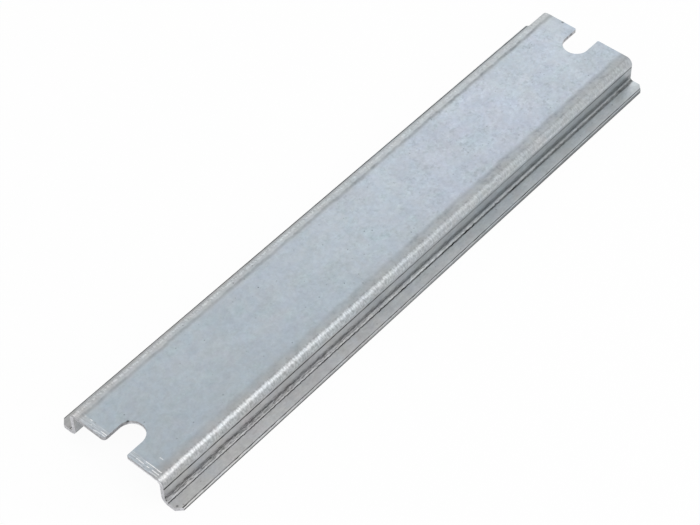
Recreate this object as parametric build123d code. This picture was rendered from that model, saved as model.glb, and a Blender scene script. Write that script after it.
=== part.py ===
from build123d import *
import os

# Top-hat mounting rail, roll-formed in one piece from a steel strip and cut to length.
# Millimetres. X runs along the rail, Y across it, and Z up from the floor its flanges lie on.
# The origin is on the floor, under the middle of the rail.

# Driving dimensions of the strip and its section
rail_length = 160.0        # from one cut end to the other
rail_width = 35.0          # over both flanges
flange_width = 4.0         # from the outer face of a wall to the slit edge of its flange
rail_height = 7.5          # from the floor to the outer face of the web
sheet = 1.0                # thickness of the strip
bend_inner_radius = 0.8    # inside radius of all four bends
edge_roll_radius = 0.3     # rounded upper corner of the strip's slit edges

# Driving dimensions of the cut ends
slot_width = 6.5           # open screw slot in the web at each end
slot_depth = 7.7           # from the cut end to the bottom of the slot's round end
slot_mouth_radius = 0.4    # rounding of the two corners where a slot meets the cut end
corner_trim = 1.35         # 45 degree cut across each outer corner of the flanges

# How far the formed strip and the die reach past the faces that they make
overrun = 2.0

# Sizes that follow from the ones above
bend_middle_radius = bend_inner_radius + sheet / 2
flange_end = rail_width / 2
wall_middle = flange_end - flange_width - sheet / 2
flange_middle = sheet / 2
web_middle = rail_height - sheet / 2
cut_end = rail_length / 2
slot_radius = slot_width / 2
slot_straight = slot_depth - slot_radius


def formed_section():
    """The strip's section: the line through the middle of the sheet, given its thickness."""
    middle = FilletPolyline(
        (-flange_end, flange_middle),
        (-wall_middle, flange_middle),
        (-wall_middle, web_middle),
        (wall_middle, web_middle),
        (wall_middle, flange_middle),
        (flange_end, flange_middle),
        radius=bend_middle_radius,
    )
    section = trace(middle, line_width=sheet)
    slit_edges = section.vertices().group_by(Axis.X)
    upper_corners = [edge.sort_by(Axis.Y)[-1] for edge in (slit_edges[0], slit_edges[-1])]
    return Plane.YZ * fillet(upper_corners, radius=edge_roll_radius)


def cut_outline():
    """The outline that the die leaves, seen from above, with slots and trimmed corners."""
    outline = Rectangle(rail_length, rail_width + 2 * overrun)
    outline = chamfer(outline.vertices(), length=corner_trim + overrun)
    for side in (-1, 1):
        outline -= Pos(side * (cut_end - slot_straight), 0) * Circle(slot_radius)
        outline -= Pos(side * cut_end, 0) * Rectangle(2 * slot_straight, slot_width)
    ends = outline.vertices().group_by(Axis.X)
    mouths = [corner for end in (ends[0], ends[-1]) for corner in end.sort_by(Axis.Y)[1:-1]]
    return fillet(mouths, radius=slot_mouth_radius)


def formed_rail():
    """The formed strip, sheared at both ends to the die's outline."""
    strip = extrude(formed_section(), amount=cut_end + overrun, both=True)
    die = extrude(cut_outline(), amount=rail_height + overrun, both=True)
    return strip & die


rail = formed_rail()
rail.label = "rail"

os.makedirs("parts", exist_ok=True)
export_step(rail, "parts/rail.step")
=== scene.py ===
import math

import bpy
from bpy.props import FloatProperty, FloatVectorProperty, IntProperty, PointerProperty
from mathutils import Matrix, Vector


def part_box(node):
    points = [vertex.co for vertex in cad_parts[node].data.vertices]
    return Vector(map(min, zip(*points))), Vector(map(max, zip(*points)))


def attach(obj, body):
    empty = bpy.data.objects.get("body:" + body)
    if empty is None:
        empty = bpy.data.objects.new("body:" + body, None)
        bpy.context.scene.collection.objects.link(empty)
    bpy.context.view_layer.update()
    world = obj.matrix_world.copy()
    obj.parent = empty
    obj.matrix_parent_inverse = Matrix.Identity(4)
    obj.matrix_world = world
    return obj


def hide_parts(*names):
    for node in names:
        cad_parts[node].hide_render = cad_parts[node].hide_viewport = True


bl_info = {
    "name": "Top-hat mounting rail",
    "version": (1, 0, 0),
    "blender": (4, 5, 0),
    "location": "3D View > Sidebar > Mounting rail",
    "description": "Dresses a short roll-formed mounting rail in zinc-plated steel and lights it",
    "category": "Add Mesh",
}

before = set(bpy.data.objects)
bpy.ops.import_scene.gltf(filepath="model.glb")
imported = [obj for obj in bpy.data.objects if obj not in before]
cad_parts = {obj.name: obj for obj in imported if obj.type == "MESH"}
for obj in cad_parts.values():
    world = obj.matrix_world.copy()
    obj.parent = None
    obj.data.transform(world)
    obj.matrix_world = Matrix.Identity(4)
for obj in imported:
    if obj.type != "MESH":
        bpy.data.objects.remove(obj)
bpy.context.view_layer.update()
RAIL_LOW, RAIL_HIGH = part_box("rail")

# One millimetre in Blender's metres
MM = 0.001

# The lengths that the rail's nodes take, each named as in RailSizes
LENGTHS = (
    "Length", "Width", "Height", "Flange width", "Sheet", "Bend inner radius", "Edge roll radius",
    "Tool line height", "Tool line width", "Tool line depth", "Slot width", "Slot depth",
    "Mouth radius", "Worn corner radius", "Corner trim",
)

# How far the strip and the die reach past the finished rail before the shear
OVERRUN = 2 * MM

# The rail's other measures: name, first value, what is done with it, second value
MEASURES = (
    ("Half length", "Length", "DIVIDE", 2.0),
    ("Half width", "Width", "DIVIDE", 2.0),
    ("Wall outside", "Half width", "SUBTRACT", "Flange width"),
    ("Wall inside", "Wall outside", "SUBTRACT", "Sheet"),
    ("Under web", "Height", "SUBTRACT", "Sheet"),
    ("Bend outer radius", "Bend inner radius", "ADD", "Sheet"),
    ("Half tool line", "Tool line width", "DIVIDE", 2.0),
    ("Tool line low", "Tool line height", "SUBTRACT", "Half tool line"),
    ("Tool line high", "Tool line height", "ADD", "Half tool line"),
    ("Tool line bottom", "Wall outside", "SUBTRACT", "Tool line depth"),
    ("Strip end", "Half length", "ADD", OVERRUN),
    ("Strip start", "Strip end", "MULTIPLY", -1.0),
    ("Above web", "Height", "ADD", OVERRUN),
    ("Past side", "Half width", "ADD", OVERRUN),
    ("Past trim", "Corner trim", "ADD", OVERRUN),
    ("Trim along", "Half length", "SUBTRACT", "Past trim"),
    ("Trim across", "Half width", "SUBTRACT", "Corner trim"),
    ("Half slot", "Slot width", "DIVIDE", 2.0),
    ("Slot bottom", "Half length", "SUBTRACT", "Slot depth"),
    ("Corner wear", "Worn corner radius", "SUBTRACT", "Mouth radius"),
)

# Half of the section's outline: distance from the middle, height and radius of each corner. It
# starts inside the channel under the web, goes round the flange, and ends on the outer bend.
SECTION_CORNERS = (
    ("Wall inside", "Under web", "Bend inner radius"),
    ("Wall inside", 0.0, "Bend outer radius"),
    ("Half width", 0.0, 0.0),
    ("Half width", "Sheet", "Edge roll radius"),
    ("Wall outside", "Sheet", "Bend inner radius"),
    ("Wall outside", "Tool line low", 0.0),
    ("Tool line bottom", "Tool line height", 0.0),
    ("Wall outside", "Tool line high", 0.0),
    ("Wall outside", "Height", "Bend outer radius"),
)

# A quarter of the die's outline, from its side to the bottom of a slot: place along the rail,
# place across it and radius of each corner
DIE_CORNERS = (
    ("Trim along", "Past side", 0.0),
    ("Half length", "Trim across", 0.0),
    ("Half length", "Half slot", "Slot mouth"),
    ("Slot bottom", "Half slot", "Half slot"),
)

# Points along each rounded corner of the die, and the one corner of its outline that is worn
DIE_STEPS = 24
WORN_CORNER = 13

# A corner with a smaller radius stays sharp
LEAST_RADIUS = 0.001 * MM

# Points that are this close are joined: in the strip and the die, and in what the shear leaves
SOLID_WELD = 0.0001 * MM
SHEAR_WELD = 0.001 * MM

# A face near the middle is the side of a slot where its normal has less than this upright, and any
# face is a cut end where its normal has more than this along the rail
CUT_UPRIGHT = 0.5
CUT_LEAN = 0.3

# An edge that folds more than this is bevelled, with this many faces across the bevel
BEVEL_FOLD = math.radians(60)
BEVEL_SEGMENTS = 2

# How much a large face counts for the shading of its corners, where 50 is even
LARGE_FACE_WEIGHT = 100

# The finish is laid out in millimetres. Where the upper bends begin beside the middle, the height
# that they turn about, their outer radius, and the height of the rolls' line on the walls
BEND_OFF = 11.7
BEND_HEIGHT = 5.7
BEND_RADIUS = 1.8
TOOL_LINE_HEIGHT = 5.05

# Patterns of the plating, from wide patches to grain: name, size, detail, roughness. Real grain is
# much finer, and is drawn this coarse so that it shows.
CLOUDY_PATTERNS = (
    ("wide", 14.0, 3.0, 0.55),
    ("drift", 9.0, 3.0, 0.8),
    ("hue", 6.5, 4.0, 0.8),
    ("patch", 4.0, 3.0, 0.6),
    ("tinge", 3.7, 3.0, 0.8),
    ("cloud", 1.5, 3.0, 0.6),
    ("peel", 0.8, 2.0, 0.5),
    ("torn", 0.5, 3.0, 0.7),
    ("grain", 0.45, 2.0, 0.6),
)
CLOUDY_DISTORTION = 0.5

# Patterns that change along the rail alone: name, size, and where each is read, so that they
# differ. The right side reads them this much further on.
LENGTHWISE_PATTERNS = (
    ("sway", 6.0, 0.0),
    ("fade", 2.2, 300.0),
    ("jitter", 0.9, 700.0),
)
RIGHT_SIDE_SHIFT = 400.0

# Patterns that are drawn out one way: name, size along the rail, the other way and the size along
# it, whether the two sides differ, detail, roughness, distortion
DRAWN_PATTERNS = (
    # Short streaks across the bends, finer on the real rail and drawn wide enough to show
    ("streak", 0.45, "round_bend", 1.0, True, 3.0, 0.65, 0.0),
    # Smears of zinc dust along the foot of the wall and the fillet
    ("smear", 1.4, "down_out", 0.45, True, 3.0, 0.7, 0.6),
    # Fine scratches that the shear's hold-down draws across the web
    ("scratch", 0.14, "y", 3.0, False, 2.0, 0.5, 0.0),
)

# Distance between the small dark specks of the plating
SPECK_SPACING = 1.3

# Edges and lines that waver along the rail: name, what is read across them, the pattern that moves
# them and how far, their middle, and how far they drift with each millimetre along the rail. The
# first two only shift edges whose places the soft steps give.
WAVERING_LINES = (
    ("band_off", "off", "sway", -0.7, 0.7, 0.0),
    ("foot_z", "z", "fade", -0.7, 0.35, 0.0035),
    ("crease_off", "off", "jitter", 0.3, 14.05, -0.0022),
    ("lip_off", "off", "fade", 0.06, 17.18, -0.0011),
    ("line_off", "z", "sway", 0.0, TOOL_LINE_HEIGHT, 0.0012),
)
# How far clouds of the plating move the edges of the rubbed band and of the painted shade beside
# the bends
BAND_CLOUD = 0.7
# How narrow the crease is at the rail's middle, and how that changes along the rail
CREASE_NARROW = 0.82
CREASE_WIDENS = -0.005

# Soft steps that place the finish: name, what is read, where the step starts and ends, and its
# value before and after. Here x runs along the rail from its middle to the far end, y across it
# from the right side, which the camera sees, to the left one, off is how far a place is from the
# middle on either side, and z is its height.
SOFT_STEPS = (
    # Web, bends and walls
    ("on_top", "z", 7.2, 7.4, 0.0, 1.0),
    ("flat_web", "off", 9.0, 10.5, 1.0, 0.0),
    ("curved", "off", 11.5, 12.1, 0.0, 1.0),
    ("bend_high", "z", 5.5, 6.0, 0.0, 1.0),
    ("outside", "off", 13.2, 13.35, 0.0, 1.0),
    ("inside", "off", 12.5, 12.6, 1.0, 0.0),
    ("below_web", "z", 6.5, 6.6, 1.0, 0.0),
    # Colour of the film
    ("rolled", "band_off", 9.1, 12.0, 0.0, 1.0),
    ("cool", "x", -50.0, 40.0, 0.0, 1.0),
    ("cool_bend", "x", -100.0, -20.0, 0.0, 1.0),
    ("lilac", "wide", 0.4, 0.62, 0.25, 0.62),
    ("lilac_more", "x", -60.0, 70.0, 0.35, 1.25),
    ("green", "patch", 0.5, 0.72, 0.0, 0.4),
    ("hue", "hue", 0.3, 0.7, -0.02, 0.02),
    ("tinge", "tinge", 0.3, 0.7, -0.013, 0.013),
    # Grain, clouds and slow drift of the brightness, and the steps of the painted shade across the
    # web and of the painted light along it
    ("grain", "grain", 0.3, 0.7, 0.97, 1.03),
    ("cloud", "cloud", 0.3, 0.7, 0.96, 1.04),
    ("drift", "drift", 0.3, 0.7, -0.042, 0.042),
    ("across", "y", -9.0, 2.0, 1.0, 0.0),
    ("along", "x", -45.0, 15.0, 0.028, -0.03),
    # Dark specks and small peeled spots
    ("speck", "speck", 0.08, 0.18, 1.0, 0.0),
    ("speck_pick", "speck_pick", 0.55, 1.0, 0.0, 0.55),
    ("group", "patch", 0.4, 0.6, 0.35, 1.0),
    ("peel", "peel", 0.54, 0.64, 0.0, 0.13),
    ("peel_light", "peel", 0.36, 0.46, 1.0, 0.0),
    ("peel_more", "x", -60.0, 40.0, 0.3, 1.0),
    # Painted shade: darker bands on the web beside the bends
    ("left_in", "band_off", 10.1, 10.8, 0.0, 1.0),
    ("left_out", "band_off", 10.95, 11.4, 1.0, 0.0),
    ("right_in", "band_off", 9.4, 10.5, 0.0, 1.0),
    ("right_out", "off", 11.9, 12.35, 1.0, 0.0),
    ("right_line", "band_off", 10.5, 11.0, 1.0, 0.0),
    ("band_depth", "patch", 0.35, 0.65, 0.15, 0.27),
    ("far_more", "x", -80.0, 80.0, 0.8, 1.35),
    # Streaks round the bends, the painted shade where the left bend turns away, and the painted
    # light on the lower part of the right bend
    ("streak", "streak", 0.35, 0.65, 0.8, 1.22),
    ("streak_depth", "x", -40.0, 50.0, 1.0, 0.55),
    ("turned", "swing", 0.65, 0.9, 0.0, 1.0),
    ("turned_back", "swing", 1.15, 1.5, 1.0, 0.0),
    ("painted_lift", "swing", 0.9, 1.3, 0.0, 1.0),
    ("burnished_low", "z", 5.2, 5.4, 0.0, 1.0),
    # The rolls' line on the walls, darkened with painted shade
    ("line", "line_off", 0.08, 0.3, 1.0, 0.0),
    ("line_depth", "x", -30.0, 20.0, 0.93, 0.44),
    ("line_far", "x", 40.0, 75.0, 0.0, 0.45),
    ("line_fade", "fade", 0.3, 0.7, 0.88, 1.12),
    ("line_sway", "sway", 0.3, 0.7, 0.88, 1.12),
    # Wall: the steps of the painted shade on its lower part, at its foot and in its fillet, and of
    # its rubbed tone and smears
    ("wall_top", "z", 5.0, 5.6, 1.0, 0.0),
    ("rub", "smear", 0.35, 0.65, -0.04, 0.04),
    ("foot", "foot_z", 2.5, 3.3, 1.0, 0.0),
    ("foot_low", "z", 1.2, 2.0, 0.0, 1.0),
    ("foot_depth", "x", -60.0, 50.0, 0.21, 0.33),
    ("smear", "smear", 0.41, 0.59, 0.5, 1.4),
    ("smear_depth", "x", -70.0, 30.0, 1.0, 0.45),
    ("fillet", "z", 1.0, 1.12, 0.0, 1.0),
    ("fillet_top", "z", 1.1, 1.5, 1.0, 0.0),
    ("fillet_depth", "x", -50.0, 10.0, 0.56, 0.1),
    # Flange, with the crease at the wall and the lip at its edge, where the flanges' light and
    # shade are painted
    ("low", "z", 1.3, 1.5, 1.0, 0.0),
    ("flat", "off", 14.35, 14.6, 0.0, 1.0),
    ("flat_out", "off", 14.4, 16.8, -0.16, 0.1),
    ("crease", "crease_off", 0.06, 0.2, 1.0, 0.0),
    ("crease_depth", "x", 10.0, 60.0, 0.82, 0.62),
    ("lip", "lip_off", 0.06, 0.15, 1.0, 0.0),
    ("lip_face", "off", 17.36, 17.46, 0.0, 1.0),
    ("lip_depth", "x", -75.0, -20.0, -0.3, 0.17),
    ("lip_far", "x", -20.0, 40.0, 0.0, 0.38),
    ("lip_foot", "z", 0.35, 0.6, 1.0, 0.0),
    ("lip_foot_depth", "x", -60.0, 20.0, 0.8, 0.4),
    ("torn_edge", "torn", 0.35, 0.65, -0.12, 0.12),
    # Cut ends: where painted light brightens the ends of walls and web, and where the hold-down
    # scraped and scratched the web
    ("outside_web", "off", 12.3, 12.5, 0.0, 1.0),
    ("web_cut", "z", 6.45, 6.55, 0.0, 1.0),
    ("web_torn", "z", 6.7, 7.1, 1.0, 0.0),
    ("torn_side", "y", 2.4, 3.1, 1.0, 0.0),
    ("hold_down", "x", -78.4, -78.0, 1.0, 0.0),
    ("scratch", "scratch", 0.35, 0.7, 0.92, 1.35),
)

# Even ramps for torn zinc, in the same columns
EVEN_RAMPS = (
    ("broken", "torn", 0.35, 0.6, 0.45, 1.0),
    ("torn_light", "torn", 0.35, 0.65, 0.6, 1.1),
)

# Places where several steps meet, with names of their own
MEETINGS = (
    ("lilac_patches", ("lilac", "lilac_more")),
    ("streaked", ("curved", "bend_high", "streak_depth")),
    ("dusty", ("foot", "outside", "fillet", "smear_depth")),
    ("scraped", ("hold_down", "on_top")),
    ("wall_end", ("outside_web", "below_web")),
    ("web_end", ("web_cut", "web_torn", "torn_side")),
)

# Painted shade and light, and tone that differs at random: the steps that meet at a place, and the
# share of the light that is taken away. A negative share brightens the place.
SHADES = (
    # Painted shade: darker bands on the web beside the bends, deeper towards the far end
    (("left_in", "left_out", "on_top", "band_depth", "far_more", "left"), 1.15),
    (("right_in", "right_out", "band_depth", "far_more", "right"), 0.68),
    (("right_in", "right_line", "cool", "right"), 0.06),
    # The web: its slow drift at random, painted shade that darkens it a little towards the right
    # side, and painted light that brightens it towards the far end
    (("across", "on_top"), 0.03),
    (("along", "on_top", "flat_web"), 1.0),
    (("drift", "on_top", "far_more"), 1.0),
    # Bends: painted shade where the left bend turns away, and painted light on the lower part of
    # the right bend, towards the far end
    (("turned", "turned_back", "left"), 0.2),
    (("painted_lift", "burnished_low", "cool", "right"), -0.17),
    # Walls: painted shade at the foot, in the fillet and a little on the lower wall
    (("foot", "outside", "foot_low", "foot_depth"), 1.0),
    (("fillet", "low", "outside", "fillet_top", "fillet_depth"), 1.0),
    (("outside", "fillet", "wall_top"), 0.06),
    # Painted shade along the rolls' line, strongest at the near end and again towards the far end
    (("line", "outside", "line_depth", "line_fade", "line_sway"), 1.0),
    (("line", "outside", "line_far"), 1.0),
    # Flanges: painted shade in the crease, along the lip and at the foot of the edge faces, all
    # the more on the left flange;
    # painted light on the flat and on the right flange's inner part, painted shade at its edge;
    # the edge faces painted lighter at the near end and darker towards the far end
    (("crease", "low", "crease_depth", "line_fade", "line_sway"), 1.0),
    (("flat", "low"), -0.15),
    (("flat", "low", "left"), 0.3),
    (("lip", "low", "line_fade", "line_sway"), 0.82),
    (("lip_face", "low", "lip_depth"), 1.0),
    (("lip_face", "low", "lip_far"), 1.0),
    (("lip_face", "lip_foot", "lip_foot_depth"), 1.0),
    (("flat", "low", "flat_out", "cool", "right"), 1.0),
    (("lip_face", "low", "left"), 0.4),
    # Painted light: the inside of the channel is made lighter
    (("inside", "below_web"), -0.2),
    # Rubbed and uneven walls and flanges
    (("rub", "outside"), 1.0),
    (("drift", "outside"), 1.6),
    (("torn_edge", "lip_face", "low"), 1.0),
    # Specks and peeled spots
    (("speck", "speck_pick", "group"), 1.0),
    (("peel", "group", "on_top", "peel_more"), 1.0),
    (("peel_light", "group", "on_top", "peel_more"), -0.08),
)

# Patterned places: where they lie and the step that varies the light there
PATTERNED_SHADES = (("streaked", "streak"), ("dusty", "smear"), ("scraped", "scratch"))

# How much of the rubbed zinc's colour shows where the hold-down has scraped the web
SCRAPED_SHARE = 0.4

# Bright marks beside the near end: place along the rail, middle across it, half length, strength
SHEAR_MARKS = (
    (-79.13, -6.3, 1.1, 0.75),
    (-79.13, -8.6, 0.35, 0.9),
    (-79.1, -10.7, 0.95, 0.85),
    (-78.38, -9.5, 2.2, 0.9),
    (-79.68, -10.5, 1.1, 0.5),
    (-75.87, -9.2, 0.45, 0.7),
    (-79.7, -7.1, 0.55, 0.35),
    (-78.3, 8.65, 0.35, 0.8),
    (-79.0, 4.1, 0.95, 0.8),
    (-79.6, 5.4, 0.75, 0.5),
    (-79.45, 3.9, 0.4, 0.6),
    (-79.75, 6.2, 0.4, 0.5),
    (-79.15, 7.75, 0.2, 0.5),
    (-78.5, 10.2, 0.25, 0.4),
)
# Half the width of a mark, how far clouds bend it, and how much the bending moves its middle
MARK_HALF_WIDTH = 0.1
MARK_BEND = 0.2
MARK_SHIFT = 0.1

# Painted shade of dents and burrs that the mesh lacks: place, reach, share of the light that they
# take away
DARK_SPOTS = (
    ((-73.75, 2.6, 7.5), 0.5, 0.75),
    ((77.9, 3.25, 7.1), 0.6, 0.5),
    ((76.4, 3.2, 7.2), 0.45, 0.5),
    ((-79.3, -16.2, 1.0), 0.4, 0.55),
    ((79.75, 7.2, 7.5), 0.45, 0.6),
)
# The share of its reach over which a spot is darkest
SPOT_CORE = 0.3

# Zinc smeared over torn steel, and the painted light that makes it lighter on the ends of walls
# and web
TORN_STEEL = "#C8C8CB"
WALL_END_PAINTED_LIGHT = 0.3
WEB_END_PAINTED_LIGHT = 0.7

# How far grain moves the roughness, over the values that it mostly has, and how much rougher the
# sheared faces are
GRAIN_LOW, GRAIN_HIGH = 0.3, 0.7
GRAIN_ROUGHNESS = 0.04
SHEARED_ROUGHNESS = 0.15

# Height of the relief that each pattern gives
GRAIN_RELIEF = 0.006
CLOUD_RELIEF = 0.012
STREAK_RELIEF = 0.03

# Places of a Mix node's sockets, whose names are shared: two numbers, two colours and the mixed
# colour
NUMBER_A, NUMBER_B = 2, 3
COLOUR_A, COLOUR_B = 6, 7
MIXED_COLOUR = 2

# The stage is in metres. Half the side of the floor, and how far it lies under the rail
FLOOR_REACH = 3.0
FLOOR_DROP = 0.02 * MM
# How white the floor shows to each kind of ray. The rest is lit, and holds the rail's shadow.
FLOOR_WHITE = (("Is Camera Ray", 0.95), ("Is Glossy Ray", 0.3), ("Is Transmission Ray", 0.95))

# The white cyclorama darkens towards the ceiling: height of the view and grey at two places
SKY_STOPS = ((0.45, 0.855), (0.95, 0.785))

# Each softbox: name, place, size, power in watts and colour
SOFTBOXES = (
    ("softbox_right", (0.048, -0.236, 0.41), (0.32, 0.38), 0.645, "#FFFFFF"),
    ("softbox_left", (0.239, 0.241, 0.2), (0.55, 0.31), 0.222, "#FFFFFF"),
)

# Where the camera stands, the point that it looks at, and how far it is turned about its view
CAMERA_PLACE = (-0.2276, -0.1989, 0.3444)
CAMERA_AIM = (-0.00693, 0.00041, 0.0)
CAMERA_ROLL = math.radians(-1.415)
# Width of the sensor in millimetres, and the nearest and farthest place that the camera sees
SENSOR_WIDTH = 36
CLIP_START = 0.01
CLIP_END = 100


def linear(code):
    """The linear colour of an sRGB hex code."""
    parts = [int(code[i : i + 2], 16) / 255 for i in (1, 3, 5)]
    return tuple(c / 12.92 if c <= 0.04045 else ((c + 0.055) / 1.055) ** 2.4 for c in parts)


def set_inputs(tree, node, inputs):
    """Gives each input of a node a value, an output, or the first output of another node."""
    for key, value in inputs.items():
        if isinstance(value, bpy.types.Node):
            value = value.outputs[0]
        if isinstance(value, bpy.types.NodeSocket):
            tree.links.new(value, node.inputs[key])
        else:
            node.inputs[key].default_value = value


def add_node(tree, kind, inputs=None, **settings):
    """Adds one node with its settings, values and links."""
    node = tree.nodes.new(kind)
    for name, value in settings.items():
        setattr(node, name, value)
    set_inputs(tree, node, inputs or {})
    return node


class RailSizes(bpy.types.PropertyGroup):
    """Sizes of the rail's section and of its cut ends."""

    length: FloatProperty(
        name="Length",
        description="From one cut end to the other",
        default=RAIL_HIGH[0] - RAIL_LOW[0],
        min=20 * MM,
        unit="LENGTH",
    )
    width: FloatProperty(
        name="Width",
        description="Over both flanges",
        default=RAIL_HIGH[1] - RAIL_LOW[1],
        min=20 * MM,
        unit="LENGTH",
    )
    height: FloatProperty(
        name="Height",
        description="From the floor to the outer face of the web",
        default=RAIL_HIGH[2] - RAIL_LOW[2],
        min=5 * MM,
        unit="LENGTH",
    )
    flange_width: FloatProperty(
        name="Flange width",
        description="From the outer face of a wall to the slit edge of its flange",
        default=4 * MM,
        unit="LENGTH",
    )
    sheet: FloatProperty(
        name="Sheet",
        description="Thickness of the strip",
        default=1 * MM,
        unit="LENGTH",
    )
    bend_inner_radius: FloatProperty(
        name="Bend inner radius",
        description="Inside radius of all four bends",
        default=0.8 * MM,
        unit="LENGTH",
    )
    edge_roll_radius: FloatProperty(
        name="Edge roll radius",
        description="Rounded upper corner of the strip's slit edges",
        default=0.3 * MM,
        unit="LENGTH",
    )
    bend_steps: IntProperty(
        name="Bend steps",
        description="Points along each bend",
        default=20,
        min=4,
        max=64,
    )
    tool_line_height: FloatProperty(
        name="Tool line height",
        description="Height above the floor of the line that the forming roll leaves on each wall",
        default=TOOL_LINE_HEIGHT * MM,
        unit="LENGTH",
    )
    tool_line_width: FloatProperty(
        name="Tool line width",
        description="Width of the line on each wall",
        default=0.2 * MM,
        unit="LENGTH",
    )
    tool_line_depth: FloatProperty(
        name="Tool line depth",
        description="Depth of the line on each wall",
        default=0.06 * MM,
        unit="LENGTH",
    )
    slot_width: FloatProperty(
        name="Slot width",
        description="Width of the open screw slot at each end",
        default=6.5 * MM,
        unit="LENGTH",
    )
    slot_depth: FloatProperty(
        name="Slot depth",
        description="From the cut end to the bottom of the slot's round end",
        default=7.7 * MM,
        unit="LENGTH",
    )
    mouth_radius: FloatProperty(
        name="Mouth radius",
        description="Rounding of the corners where a slot meets the cut end",
        default=0.4 * MM,
        unit="LENGTH",
    )
    worn_corner_radius: FloatProperty(
        name="Worn corner radius",
        description="Rounding of the one slot corner that is worn most",
        default=0.9 * MM,
        unit="LENGTH",
    )
    corner_trim: FloatProperty(
        name="Corner trim",
        description="45 degree cut across each outer corner of the flanges",
        default=1.35 * MM,
        unit="LENGTH",
    )
    edge_break: FloatProperty(
        name="Edge break",
        description="Width of the small bevel along the sheared edges",
        default=0.1 * MM,
        unit="LENGTH",
    )


class ZincFinish(bpy.types.PropertyGroup):
    """Colours and gloss of the plated strip."""

    web_colour: FloatVectorProperty(
        name="Web colour",
        description="Blue passivated zinc on the flat web",
        default=linear("#B2BCC3"),
        size=3,
        subtype="COLOR",
        min=0,
        max=1,
    )
    bend_colour: FloatVectorProperty(
        name="Bend colour",
        description="Zinc that the forming rolls have rubbed on bends, walls and flanges",
        default=linear("#BABBBC"),
        size=3,
        subtype="COLOR",
        min=0,
        max=1,
    )
    lilac_tint: FloatVectorProperty(
        name="Lilac tint",
        description="Faint lilac patches of the passivation",
        default=linear("#B5BBC8"),
        size=3,
        subtype="COLOR",
        min=0,
        max=1,
    )
    green_tint: FloatVectorProperty(
        name="Green tint",
        description="Faint green patches of the passivation",
        default=linear("#AEBDC2"),
        size=3,
        subtype="COLOR",
        min=0,
        max=1,
    )
    cool_tint: FloatVectorProperty(
        name="Cool tint",
        description="The rubbed zinc towards the far end, where more of the blue film is left",
        default=linear("#B5BABD"),
        size=3,
        subtype="COLOR",
        min=0,
        max=1,
    )
    roughness: FloatProperty(
        name="Roughness",
        description="Mean roughness of the plated surface",
        default=0.4,
        min=0,
        max=1,
        subtype="FACTOR",
    )


class StudioLook(bpy.types.PropertyGroup):
    """Floor, lamps and camera."""

    floor_colour: FloatVectorProperty(
        name="Floor colour",
        description="Plain pale floor",
        default=linear("#E8E8E8"),
        size=3,
        subtype="COLOR",
        min=0,
        max=1,
    )
    softbox_power: FloatProperty(
        name="Softbox power",
        description="Share of the softboxes' full power",
        default=1.0,
        min=0,
        subtype="FACTOR",
    )
    lens: FloatProperty(
        name="Lens",
        description="Focal length on a 36 mm wide sensor",
        default=104.7,
        min=1,
    )


def mirrored_index(tree, index, count):
    """An index that counts up over the first points, as many as count, and then down again."""
    opposite = add_node(
        tree, "ShaderNodeMath", {0: 2 * count - 1.0, 1: index}, operation="SUBTRACT"
    )
    return add_node(tree, "ShaderNodeMath", {0: index, 1: opposite}, operation="MINIMUM")


def side_sign(tree, index, count, first):
    """The sign first over the first points, as many as count, and the other sign after them."""
    later = add_node(tree, "ShaderNodeMath", {0: index, 1: count - 0.5}, operation="GREATER_THAN")
    return add_node(
        tree, "ShaderNodeMath", {0: later, 1: -2.0 * first, 2: first}, operation="MULTIPLY_ADD"
    )


def rounded_outline(tree, sizes, corners, row, signs, points, steps):
    """A closed outline with rounded corners.

    Each of its points takes its place and its radius from the row of corners that the field row
    picks, and two signs put it on its side of the middle.
    """
    columns = []
    for column in range(3):
        pick = add_node(tree, "GeometryNodeIndexSwitch", {"Index": row}, data_type="FLOAT")
        while len(pick.index_switch_items) < len(corners):
            pick.index_switch_items.new()
        values = [sizes.get(corner[column], corner[column]) for corner in corners]
        set_inputs(tree, pick, dict(enumerate(values, start=1)))
        columns.append(pick)
    first, second, radius = columns
    first = add_node(tree, "ShaderNodeMath", {0: first, 1: signs[0]}, operation="MULTIPLY")
    second = add_node(tree, "ShaderNodeMath", {0: second, 1: signs[1]}, operation="MULTIPLY")
    place = add_node(tree, "ShaderNodeCombineXYZ", {"X": first, "Y": second})
    ring = add_node(
        tree, "GeometryNodeCurvePrimitiveCircle", {"Resolution": points}, mode="RADIUS"
    )
    outline = add_node(tree, "GeometryNodeSetPosition", {"Geometry": ring, "Position": place})
    is_round = add_node(
        tree, "ShaderNodeMath", {0: radius, 1: LEAST_RADIUS}, operation="GREATER_THAN"
    )
    count = add_node(tree, "ShaderNodeMath", {0: is_round, 1: steps}, operation="MULTIPLY")
    return add_node(
        tree,
        "GeometryNodeFilletCurve",
        {"Curve": outline, "Count": count, "Radius": radius, "Limit Radius": True},
        mode="POLY",
    )


def swept_solid(tree, outline, start, end):
    """The closed solid that an outline sweeps along a straight line."""
    path = add_node(tree, "GeometryNodeCurvePrimitiveLine", {"Start": start, "End": end})
    solid = add_node(
        tree,
        "GeometryNodeCurveToMesh",
        {"Curve": path, "Profile Curve": outline, "Fill Caps": True},
    )
    return add_node(
        tree, "GeometryNodeMergeByDistance", {"Geometry": solid, "Distance": SOLID_WELD}
    )


def rolled_strip(tree, sizes, index, bend_steps):
    """The section's outline, mirrored about its middle and swept along the rail."""
    half = len(SECTION_CORNERS)
    row = mirrored_index(tree, index, half)
    side = side_sign(tree, index, half, -1.0)
    outline = rounded_outline(
        tree, sizes, SECTION_CORNERS, row, (side, -1.0), 2 * half, bend_steps
    )
    start = add_node(tree, "ShaderNodeCombineXYZ", {"X": sizes["Strip start"]})
    end = add_node(tree, "ShaderNodeCombineXYZ", {"X": sizes["Strip end"]})
    return swept_solid(tree, outline, start, end)


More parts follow.
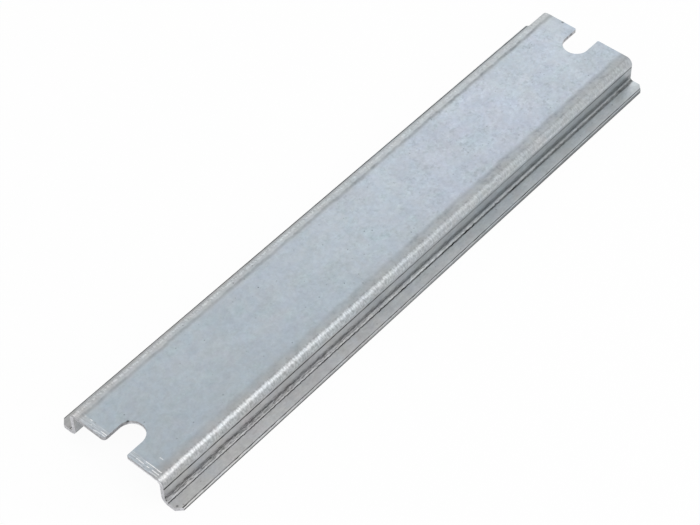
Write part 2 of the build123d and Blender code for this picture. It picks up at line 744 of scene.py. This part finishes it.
def shearing_die(tree, sizes, index):
    """The die's outline, mirrored to both sides and both ends, and swept through the strip."""
    quarter = len(DIE_CORNERS)
    end_index = add_node(tree, "ShaderNodeMath", {0: index, 1: 2.0 * quarter}, operation="MODULO")
    row = mirrored_index(tree, end_index, quarter)
    turn = side_sign(tree, end_index, quarter, 1.0)
    end = side_sign(tree, index, 2 * quarter, 1.0)
    side = add_node(tree, "ShaderNodeMath", {0: turn, 1: end}, operation="MULTIPLY")
    worn = add_node(
        tree, "ShaderNodeMath", {0: index, 1: WORN_CORNER, 2: 0.5}, operation="COMPARE"
    )
    mouth = add_node(
        tree,
        "ShaderNodeMath",
        {0: worn, 1: sizes["Corner wear"], 2: sizes["Mouth radius"]},
        operation="MULTIPLY_ADD",
    )
    outline = rounded_outline(
        tree,
        {**sizes, "Slot mouth": mouth},
        DIE_CORNERS,
        row,
        (end, side),
        4 * quarter,
        DIE_STEPS,
    )
    above = add_node(tree, "ShaderNodeCombineXYZ", {"Z": sizes["Above web"]})
    return swept_solid(tree, outline, (0, 0, -OVERRUN), above)


def marked_cuts(tree, geometry, slot_width):
    """Marks the sheared faces for the finish, and the sharp edges for the bevel."""
    way = add_node(tree, "GeometryNodeInputNormal")
    way = add_node(tree, "ShaderNodeSeparateXYZ", {0: way}).outputs
    spot = add_node(tree, "GeometryNodeInputPosition")
    spot = add_node(tree, "ShaderNodeSeparateXYZ", {0: spot}).outputs
    lean = add_node(tree, "ShaderNodeMath", {0: way["X"]}, operation="ABSOLUTE")
    end_face = add_node(tree, "ShaderNodeMath", {0: lean, 1: CUT_LEAN}, operation="GREATER_THAN")
    upright = add_node(tree, "ShaderNodeMath", {0: way["Z"]}, operation="ABSOLUTE")
    steep = add_node(tree, "ShaderNodeMath", {0: upright, 1: CUT_UPRIGHT}, operation="LESS_THAN")
    off = add_node(tree, "ShaderNodeMath", {0: spot["Y"]}, operation="ABSOLUTE")
    in_slot = add_node(tree, "ShaderNodeMath", {0: off, 1: slot_width}, operation="LESS_THAN")
    slot_face = add_node(tree, "ShaderNodeMath", {0: steep, 1: in_slot}, operation="MULTIPLY")
    sheared = add_node(tree, "ShaderNodeMath", {0: end_face, 1: slot_face}, operation="MAXIMUM")
    fold = add_node(tree, "GeometryNodeInputMeshEdgeAngle")
    sharp = add_node(tree, "ShaderNodeMath", {0: fold, 1: BEVEL_FOLD}, operation="GREATER_THAN")
    for name, value, domain in (
        ("sheared", sheared, "FACE"),
        ("bevel_weight_edge", sharp, "EDGE"),
    ):
        geometry = add_node(
            tree,
            "GeometryNodeStoreNamedAttribute",
            {"Geometry": geometry, "Name": name, "Value": value},
            data_type="FLOAT",
            domain=domain,
        )
    return geometry


def rail_tree(material):
    """Geometry nodes that roll the strip, shear it to the die's outline and mark its cuts."""
    tree = bpy.data.node_groups.new("Roll-formed rail", "GeometryNodeTree")
    for name in LENGTHS:
        socket = tree.interface.new_socket(name, in_out="INPUT", socket_type="NodeSocketFloat")
        socket.subtype = "DISTANCE"
    tree.interface.new_socket("Bend steps", in_out="INPUT", socket_type="NodeSocketInt")
    tree.interface.new_socket("Rail", in_out="OUTPUT", socket_type="NodeSocketGeometry")
    given = add_node(tree, "NodeGroupInput").outputs
    sizes = {name: given[name] for name in LENGTHS}
    for name, first, operation, second in MEASURES:
        sizes[name] = add_node(
            tree,
            "ShaderNodeMath",
            {0: sizes[first], 1: sizes.get(second, second)},
            operation=operation,
        )
    index = add_node(tree, "GeometryNodeInputIndex")
    strip = rolled_strip(tree, sizes, index, given["Bend steps"])
    die = shearing_die(tree, sizes, index)

    # The shear leaves what both have in common
    shear = add_node(tree, "GeometryNodeMeshBoolean", operation="INTERSECT", solver="EXACT")
    for solid in (strip, die):
        set_inputs(tree, shear, {"Mesh 2": solid})
    joined = add_node(
        tree, "GeometryNodeMergeByDistance", {"Geometry": shear, "Distance": SHEAR_WELD}
    )
    marked = marked_cuts(tree, joined, sizes["Slot width"])
    smooth = add_node(
        tree, "GeometryNodeSetShadeSmooth", {"Geometry": marked, "Shade Smooth": True}
    )
    real = add_node(tree, "GeometryNodeRealizeInstances", {"Geometry": smooth})
    dressed = add_node(tree, "GeometryNodeSetMaterial", {"Geometry": real, "Material": material})
    add_node(tree, "NodeGroupOutput", {"Rail": dressed})
    return tree


def surface_places(tree):
    """Readings of where a place on the surface lies, by name, in millimetres."""
    place = add_node(tree, "ShaderNodeTexCoord").outputs["Object"]
    spot = add_node(tree, "ShaderNodeVectorMath", {0: place, "Scale": 1 / MM}, operation="SCALE")
    x, y, z = add_node(tree, "ShaderNodeSeparateXYZ", {0: spot}).outputs
    off = add_node(tree, "ShaderNodeMath", {0: y}, operation="ABSOLUTE")
    beside = add_node(tree, "ShaderNodeMath", {0: off, 1: BEND_OFF}, operation="SUBTRACT")
    above = add_node(tree, "ShaderNodeMath", {0: z, 1: BEND_HEIGHT}, operation="SUBTRACT")
    swing = add_node(tree, "ShaderNodeMath", {0: beside, 1: above}, operation="ARCTAN2")
    arc = add_node(tree, "ShaderNodeMath", {0: swing, 1: BEND_RADIUS}, operation="MULTIPLY")
    reads = {"spot": spot, "x": x, "y": y, "z": z, "off": off, "swing": swing, "round_bend": arc}
    reads["right"] = add_node(tree, "ShaderNodeMath", {0: y, 1: 0.0}, operation="LESS_THAN")
    reads["down_out"] = add_node(tree, "ShaderNodeMath", {0: off, 1: z}, operation="SUBTRACT")
    return reads


def add_patterns(tree, reads):
    """Adds the patterns of the plating to the readings."""
    for name, size, detail, roughness in CLOUDY_PATTERNS:
        reads[name] = add_node(
            tree,
            "ShaderNodeTexNoise",
            {
                "Vector": reads["spot"],
                "Scale": 1 / size,
                "Detail": detail,
                "Roughness": roughness,
                "Distortion": CLOUDY_DISTORTION,
            },
        )
    shifted = add_node(
        tree,
        "ShaderNodeMath",
        {0: reads["right"], 1: RIGHT_SIDE_SHIFT, 2: reads["x"]},
        operation="MULTIPLY_ADD",
    )
    for name, size, start in LENGTHWISE_PATTERNS:
        along = add_node(tree, "ShaderNodeMath", {0: shifted, 1: start}, operation="ADD")
        reads[name] = add_node(
            tree, "ShaderNodeTexNoise", {"W": along, "Scale": 1 / size}, noise_dimensions="1D"
        )
    for name, size, other, other_size, two_sides, detail, roughness, distortion in DRAWN_PATTERNS:
        along = add_node(
            tree, "ShaderNodeMath", {0: reads["x"], 1: 1 / size}, operation="MULTIPLY"
        )
        across = add_node(
            tree, "ShaderNodeMath", {0: reads[other], 1: 1 / other_size}, operation="MULTIPLY"
        )
        side = reads["right"] if two_sides else 0.0
        drawn = add_node(tree, "ShaderNodeCombineXYZ", {"X": along, "Y": across, "Z": side})
        reads[name] = add_node(
            tree,
            "ShaderNodeTexNoise",
            {
                "Vector": drawn,
                "Scale": 1.0,
                "Detail": detail,
                "Roughness": roughness,
                "Distortion": distortion,
            },
        )
    specks = add_node(
        tree, "ShaderNodeTexVoronoi", {"Vector": reads["spot"], "Scale": 1 / SPECK_SPACING}
    )
    reads["speck"] = specks
    reads["speck_pick"] = add_node(tree, "ShaderNodeSeparateXYZ", {0: specks.outputs["Color"]})


def add_wavering_lines(tree, reads):
    """Adds to the readings how far a place is from the edges and lines along the rail."""
    x = reads["x"]
    for name, read, pattern, reach, middle, drift in WAVERING_LINES:
        line = middle
        for moved_by, amount in ((reads[pattern], reach), (x, drift)):
            line = add_node(
                tree, "ShaderNodeMath", {0: moved_by, 1: amount, 2: line}, operation="MULTIPLY_ADD"
            )
        reads[name] = add_node(
            tree, "ShaderNodeMath", {0: reads[read], 1: line}, operation="SUBTRACT"
        )
    reads["band_off"] = add_node(
        tree,
        "ShaderNodeMath",
        {0: reads["cloud"], 1: BAND_CLOUD, 2: reads["band_off"]},
        operation="MULTIPLY_ADD",
    )
    for name in ("crease_off", "lip_off", "line_off"):
        reads[name] = add_node(tree, "ShaderNodeMath", {0: reads[name]}, operation="ABSOLUTE")
    narrow = add_node(
        tree,
        "ShaderNodeMath",
        {0: x, 1: CREASE_WIDENS, 2: CREASE_NARROW},
        operation="MULTIPLY_ADD",
    )
    reads["crease_off"] = add_node(
        tree, "ShaderNodeMath", {0: reads["crease_off"], 1: narrow}, operation="MULTIPLY"
    )


def meeting(tree, steps, names):
    """How far all the named steps hold at a place: their product."""
    product = steps[names[0]]
    for name in names[1:]:
        product = add_node(
            tree, "ShaderNodeMath", {0: product, 1: steps[name]}, operation="MULTIPLY"
        )
    return product


def finish_steps(tree, reads):
    """The two sides, the steps of the finish and the places where several meet, by name."""
    right = reads["right"]
    left = add_node(tree, "ShaderNodeMath", {0: 1.0, 1: right}, operation="SUBTRACT")
    steps = {"right": right, "left": left}
    for rows, interpolation in ((SOFT_STEPS, "SMOOTHSTEP"), (EVEN_RAMPS, "LINEAR")):
        for name, read, start, end, before, after in rows:
            steps[name] = add_node(
                tree,
                "ShaderNodeMapRange",
                {
                    "Value": reads[read],
                    "From Min": start,
                    "From Max": end,
                    "To Min": before,
                    "To Max": after,
                },
                interpolation_type=interpolation,
            )
    for name, names in MEETINGS:
        steps[name] = meeting(tree, steps, names)
    return steps


def light_share(tree, steps):
    """The share of the light left at a place by grain, clouds, rubbing, specks, streaks and
    smears, and by painted shade and painted light.
    """
    share = meeting(tree, steps, ("grain", "cloud"))
    for names, taken in SHADES:
        left_over = add_node(
            tree,
            "ShaderNodeMath",
            {0: meeting(tree, steps, names), 1: -taken, 2: 1.0},
            operation="MULTIPLY_ADD",
        )
        share = add_node(tree, "ShaderNodeMath", {0: share, 1: left_over}, operation="MULTIPLY")
    for place, pattern in PATTERNED_SHADES:
        varied = add_node(
            tree,
            "ShaderNodeMix",
            {0: steps[place], NUMBER_A: 1.0, NUMBER_B: steps[pattern]},
            data_type="FLOAT",
        )
        share = add_node(tree, "ShaderNodeMath", {0: share, 1: varied}, operation="MULTIPLY")
    return share


def film_colour(tree, finish, steps):
    """The colour of the film, from the blue web to the rubbed bends, walls and flanges."""
    cooled = add_node(
        tree,
        "ShaderNodeMix",
        {0: steps["bend_high"], NUMBER_A: steps["cool"], NUMBER_B: steps["cool_bend"]},
        data_type="FLOAT",
    )
    rolled = add_node(
        tree,
        "ShaderNodeMix",
        {0: cooled, COLOUR_A: (*finish.bend_colour, 1), COLOUR_B: (*finish.cool_tint, 1)},
        data_type="RGBA",
    ).outputs[MIXED_COLOUR]
    scraped = add_node(
        tree, "ShaderNodeMath", {0: steps["scraped"], 1: SCRAPED_SHARE}, operation="MULTIPLY"
    )
    colour = (*finish.web_colour, 1)
    for mask, tint in (
        (steps["lilac_patches"], (*finish.lilac_tint, 1)),
        (steps["green"], (*finish.green_tint, 1)),
        (steps["rolled"], rolled),
        (scraped, rolled),
    ):
        colour = add_node(
            tree,
            "ShaderNodeMix",
            {0: mask, COLOUR_A: colour, COLOUR_B: tint},
            data_type="RGBA",
        ).outputs[MIXED_COLOUR]
    colour = add_node(
        tree,
        "ShaderNodeVectorMath",
        {0: colour, "Scale": light_share(tree, steps)},
        operation="SCALE",
    )
    # The film's thickness drifts, and its hue with it: red against blue, and green by itself
    red = add_node(tree, "ShaderNodeMath", {0: 1.0, 1: steps["hue"]}, operation="ADD")
    green = add_node(tree, "ShaderNodeMath", {0: 1.0, 1: steps["tinge"]}, operation="ADD")
    blue = add_node(tree, "ShaderNodeMath", {0: 1.0, 1: steps["hue"]}, operation="SUBTRACT")
    hue = add_node(tree, "ShaderNodeCombineXYZ", {"X": red, "Y": green, "Z": blue})
    return add_node(tree, "ShaderNodeVectorMath", {0: colour, 1: hue}, operation="MULTIPLY")


def with_shear_marks(tree, colour, reads, steps):
    """The colour, with the bright marks of the shear's hold-down beside the near end."""
    bent = add_node(
        tree,
        "ShaderNodeMath",
        {0: reads["cloud"], 1: MARK_BEND, 2: reads["x"]},
        operation="MULTIPLY_ADD",
    )
    marks = 0.0
    for place, middle, half_length, strength in SHEAR_MARKS:
        along = add_node(
            tree,
            "ShaderNodeMath",
            {0: bent, 1: place + MARK_SHIFT, 2: MARK_HALF_WIDTH},
            operation="COMPARE",
        )
        across = add_node(
            tree, "ShaderNodeMath", {0: reads["y"], 1: middle, 2: half_length}, operation="COMPARE"
        )
        mark = add_node(tree, "ShaderNodeMath", {0: along, 1: across}, operation="MULTIPLY")
        marks = add_node(
            tree, "ShaderNodeMath", {0: mark, 1: strength, 2: marks}, operation="MULTIPLY_ADD"
        )
    for name in ("broken", "on_top"):
        marks = add_node(tree, "ShaderNodeMath", {0: marks, 1: steps[name]}, operation="MULTIPLY")
    return add_node(
        tree,
        "ShaderNodeMix",
        {0: marks, COLOUR_A: colour, COLOUR_B: (1, 1, 1, 1)},
        data_type="RGBA",
    ).outputs[MIXED_COLOUR]


def with_sheared_faces(tree, colour, sheared, steps):
    """The colour, with zinc smeared over torn steel on the sheared faces, and painted light on the
    ends of walls and web.
    """
    share = steps["torn_light"]
    for place, more in (("wall_end", WALL_END_PAINTED_LIGHT), ("web_end", WEB_END_PAINTED_LIGHT)):
        share = add_node(
            tree, "ShaderNodeMath", {0: steps[place], 1: more, 2: share}, operation="MULTIPLY_ADD"
        )
    torn = add_node(
        tree, "ShaderNodeVectorMath", {0: linear(TORN_STEEL), "Scale": share}, operation="SCALE"
    )
    return add_node(
        tree,
        "ShaderNodeMix",
        {0: sheared, COLOUR_A: colour, COLOUR_B: torn},
        data_type="RGBA",
    ).outputs[MIXED_COLOUR]


def with_dark_spots(tree, colour, spot):
    """The colour, darkened with painted shade at single dents and burrs."""
    for place, reach, depth in DARK_SPOTS:
        away = add_node(tree, "ShaderNodeVectorMath", {0: spot, 1: place}, operation="DISTANCE")
        left_over = add_node(
            tree,
            "ShaderNodeMapRange",
            {
                "Value": away.outputs["Value"],
                "From Min": SPOT_CORE * reach,
                "From Max": reach,
                "To Min": 1 - depth,
                "To Max": 1.0,
            },
            interpolation_type="SMOOTHSTEP",
        )
        colour = add_node(
            tree, "ShaderNodeVectorMath", {0: colour, "Scale": left_over}, operation="SCALE"
        )
    return colour


def plated_relief(tree, reads, steps):
    """The height of the plating's grain and clouds, and of the streaks on the bends."""
    streaks = add_node(
        tree, "ShaderNodeMath", {0: reads["streak"], 1: STREAK_RELIEF}, operation="MULTIPLY"
    )
    relief = 0.0
    for part, height in (
        (reads["grain"], GRAIN_RELIEF),
        (reads["cloud"], CLOUD_RELIEF),
        (streaks, steps["streaked"]),
    ):
        relief = add_node(
            tree, "ShaderNodeMath", {0: part, 1: height, 2: relief}, operation="MULTIPLY_ADD"
        )
    return relief


def plated_steel(finish):
    """The rail's one material.

    Steel strip, electroplated with zinc, blue passivated and then roll-formed. To the eye it is a
    satin, pale blue-grey metal whose brightness and hue drift slowly, with faint lilac and green
    patches, small dark specks and peeled spots. Bends, walls and flanges are greyer, because the
    forming rolls have rubbed them, and the bends glitter in short streaks across them. Painted
    shade darkens the bands beside the bends, the left bend, the lower walls and their fillets, the
    rolls' lines, the creases, the flanges' lips and edge faces, the web's right side a little, and
    a few dents and burrs. Painted light brightens the web towards the far end, the flanges' flats,
    the lower part of the right bend, the inside of the channel and the ends of walls and web. The
    shear leaves bright marks beside one cut end, and duller zinc smeared over torn steel on the
    faces that it cut.
    """
    material = bpy.data.materials.new("zinc_plated_steel")
    material.use_nodes = True
    tree = material.node_tree
    tree.nodes.clear()
    reads = surface_places(tree)
    add_patterns(tree, reads)
    add_wavering_lines(tree, reads)
    steps = finish_steps(tree, reads)
    sheared = add_node(tree, "ShaderNodeAttribute", attribute_name="sheared").outputs["Fac"]

    colour = film_colour(tree, finish, steps)
    colour = with_shear_marks(tree, colour, reads, steps)
    colour = with_sheared_faces(tree, colour, sheared, steps)
    colour = with_dark_spots(tree, colour, reads["spot"])

    rough = add_node(
        tree,
        "ShaderNodeMapRange",
        {
            "Value": reads["grain"],
            "From Min": GRAIN_LOW,
            "From Max": GRAIN_HIGH,
            "To Min": finish.roughness - GRAIN_ROUGHNESS,
            "To Max": finish.roughness + GRAIN_ROUGHNESS,
        },
    )
    rough = add_node(
        tree,
        "ShaderNodeMath",
        {0: sheared, 1: SHEARED_ROUGHNESS, 2: rough},
        operation="MULTIPLY_ADD",
    )
    relief = plated_relief(tree, reads, steps)
    bump = add_node(tree, "ShaderNodeBump", {"Strength": 1.0, "Distance": MM, "Height": relief})
    shader = add_node(
        tree,
        "ShaderNodeBsdfPrincipled",
        {"Base Color": colour, "Metallic": 1.0, "Roughness": rough, "Normal": bump},
    )
    add_node(tree, "ShaderNodeOutputMaterial", {"Surface": shader})
    return material


class MOUNTING_RAIL_OT_rail(bpy.types.Operator):
    """Make the roll-formed rail, with its slots, trimmed corners and plated finish"""

    bl_idname = "mounting_rail.rail"
    bl_label = "Roll-formed rail"

    def execute(self, context):
        sizes = context.scene.rail_sizes
        tree = rail_tree(plated_steel(context.scene.zinc_finish))
        former = bpy.data.objects.new("former", bpy.data.meshes.new("former"))
        context.scene.collection.objects.link(former)
        forming = former.modifiers.new("Roll forming", "NODES")
        forming.node_group = tree
        for item in tree.interface.items_tree:
            if item.in_out == "INPUT":
                forming[item.identifier] = getattr(sizes, item.name.lower().replace(" ", "_"))
        bevel = former.modifiers.new("Broken edges", "BEVEL")
        bevel.limit_method = "WEIGHT"
        bevel.width = sizes.edge_break
        bevel.segments = BEVEL_SEGMENTS
        bevel.harden_normals = False
        even = former.modifiers.new("Even shading", "WEIGHTED_NORMAL")
        even.mode = "FACE_AREA"
        even.weight = LARGE_FACE_WEIGHT
        graph = context.evaluated_depsgraph_get()
        mesh = bpy.data.meshes.new_from_object(former.evaluated_get(graph), depsgraph=graph)
        bpy.data.objects.remove(former)
        if not mesh.polygons:
            raise RuntimeError("The rail's nodes gave no faces")
        mesh.name = "dressed_rail"
        rail = bpy.data.objects.new("dressed_rail", mesh)
        context.scene.collection.objects.link(rail)
        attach(rail, "root")
        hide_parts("rail")
        return {"FINISHED"}


def floor_paint(colour):
    """The floor's material: it shows white, and keeps a part of the rail's shadow."""
    paint = bpy.data.materials.new("pale_floor")
    paint.use_nodes = True
    tree = paint.node_tree
    tree.nodes.clear()
    ray = add_node(tree, "ShaderNodeLightPath").outputs
    share = 0.0
    for kind, white in FLOOR_WHITE:
        share = add_node(
            tree, "ShaderNodeMath", {0: ray[kind], 1: white, 2: share}, operation="MULTIPLY_ADD"
        )
    lit = add_node(tree, "ShaderNodeBsdfDiffuse", {"Color": (*colour, 1)})
    white = add_node(tree, "ShaderNodeEmission", {"Color": (1, 1, 1, 1), "Strength": 1.0})
    mixed = add_node(tree, "ShaderNodeMixShader", {0: share, 1: lit, 2: white})
    add_node(tree, "ShaderNodeOutputMaterial", {"Surface": mixed})
    return paint


def lay_floor(scene, colour):
    """Lays the floor just under the rail."""
    mesh = bpy.data.meshes.new("floor")
    corners = ((-1, -1), (1, -1), (1, 1), (-1, 1))
    mesh.from_pydata(
        [(x * FLOOR_REACH, y * FLOOR_REACH, -FLOOR_DROP) for x, y in corners], [], [(0, 1, 2, 3)]
    )
    mesh.materials.append(floor_paint(colour))
    floor = bpy.data.objects.new("floor", mesh)
    scene.collection.objects.link(floor)


def surround(scene):
    """Surrounds the scene with a white cyclorama that darkens towards the ceiling."""
    world = bpy.data.worlds.new("studio")
    scene.world = world
    world.use_nodes = True
    tree = world.node_tree
    tree.nodes.clear()
    way = add_node(tree, "ShaderNodeTexCoord").outputs["Generated"]
    height = add_node(tree, "ShaderNodeSeparateXYZ", {0: way}).outputs["Z"]
    ramp = add_node(tree, "ShaderNodeValToRGB", {"Fac": height})
    for stop, (position, grey) in zip(ramp.color_ramp.elements, SKY_STOPS):
        stop.position = position
        stop.color = (grey, grey, grey, 1)
    sky = add_node(tree, "ShaderNodeBackground", {"Color": ramp, "Strength": 1.0})
    add_node(tree, "ShaderNodeOutputWorld", {"Surface": sky})


def hang_softboxes(scene, share):
    """Hangs the softboxes, each turned towards the rail."""
    for name, place, size, power, tint in SOFTBOXES:
        lamp = bpy.data.lights.new(name, "AREA")
        lamp.shape = "RECTANGLE"
        lamp.size, lamp.size_y = size
        lamp.energy = power * share
        lamp.color = linear(tint)
        softbox = bpy.data.objects.new(name, lamp)
        scene.collection.objects.link(softbox)
        softbox.location = place
        softbox.rotation_euler = (-Vector(place)).to_track_quat("-Z", "Y").to_euler()


def place_camera(scene, lens):
    """Places the camera at the photograph's angle."""
    camera = bpy.data.objects.new("camera", bpy.data.cameras.new("camera"))
    scene.collection.objects.link(camera)
    camera.rotation_mode = "QUATERNION"
    camera.location = CAMERA_PLACE
    towards = (Vector(CAMERA_AIM) - Vector(CAMERA_PLACE)).to_track_quat("-Z", "Y")
    camera.rotation_quaternion = towards @ Matrix.Rotation(CAMERA_ROLL, 4, "Z").to_quaternion()
    camera.data.sensor_width = SENSOR_WIDTH
    camera.data.lens = lens
    camera.data.clip_start = CLIP_START
    camera.data.clip_end = CLIP_END
    scene.camera = camera


class MOUNTING_RAIL_OT_studio(bpy.types.Operator):
    """Set up the pale floor, the soft light and the camera"""

    bl_idname = "mounting_rail.studio"
    bl_label = "Studio"

    def execute(self, context):
        scene = context.scene
        look = scene.studio_look
        scene.view_settings.view_transform = "Standard"
        lay_floor(scene, look.floor_colour)
        surround(scene)
        hang_softboxes(scene, look.softbox_power)
        place_camera(scene, look.lens)
        return {"FINISHED"}


class MOUNTING_RAIL_PT_panel(bpy.types.Panel):
    """Lists the rail's operators and settings"""

    bl_idname = "MOUNTING_RAIL_PT_panel"
    bl_label = "Mounting rail"
    bl_space_type = "VIEW_3D"
    bl_region_type = "UI"
    bl_category = "Mounting rail"

    def draw(self, context):
        for operator in OPERATORS:
            self.layout.operator(operator.bl_idname)
        for group in SETTINGS:
            settings = getattr(context.scene, group)
            box = self.layout.box()
            for name in settings.bl_rna.properties.keys():
                if name not in ("rna_type", "name"):
                    box.prop(settings, name)


SETTINGS = {"rail_sizes": RailSizes, "zinc_finish": ZincFinish, "studio_look": StudioLook}
OPERATORS = (MOUNTING_RAIL_OT_rail, MOUNTING_RAIL_OT_studio)
CLASSES = (*SETTINGS.values(), *OPERATORS, MOUNTING_RAIL_PT_panel)


def register():
    """Registers the classes and hangs the settings on the scene."""
    for kind in CLASSES:
        bpy.utils.register_class(kind)
    for name, kind in SETTINGS.items():
        setattr(bpy.types.Scene, name, PointerProperty(type=kind))


def unregister():
    """Takes away what register added, last first."""
    for name in SETTINGS:
        delattr(bpy.types.Scene, name)
    for kind in reversed(CLASSES):
        bpy.utils.unregister_class(kind)


def main():
    """Makes the rail and the studio."""
    register()
    bpy.ops.mounting_rail.rail()
    bpy.ops.mounting_rail.studio()


if __name__ == "__main__":
    main()
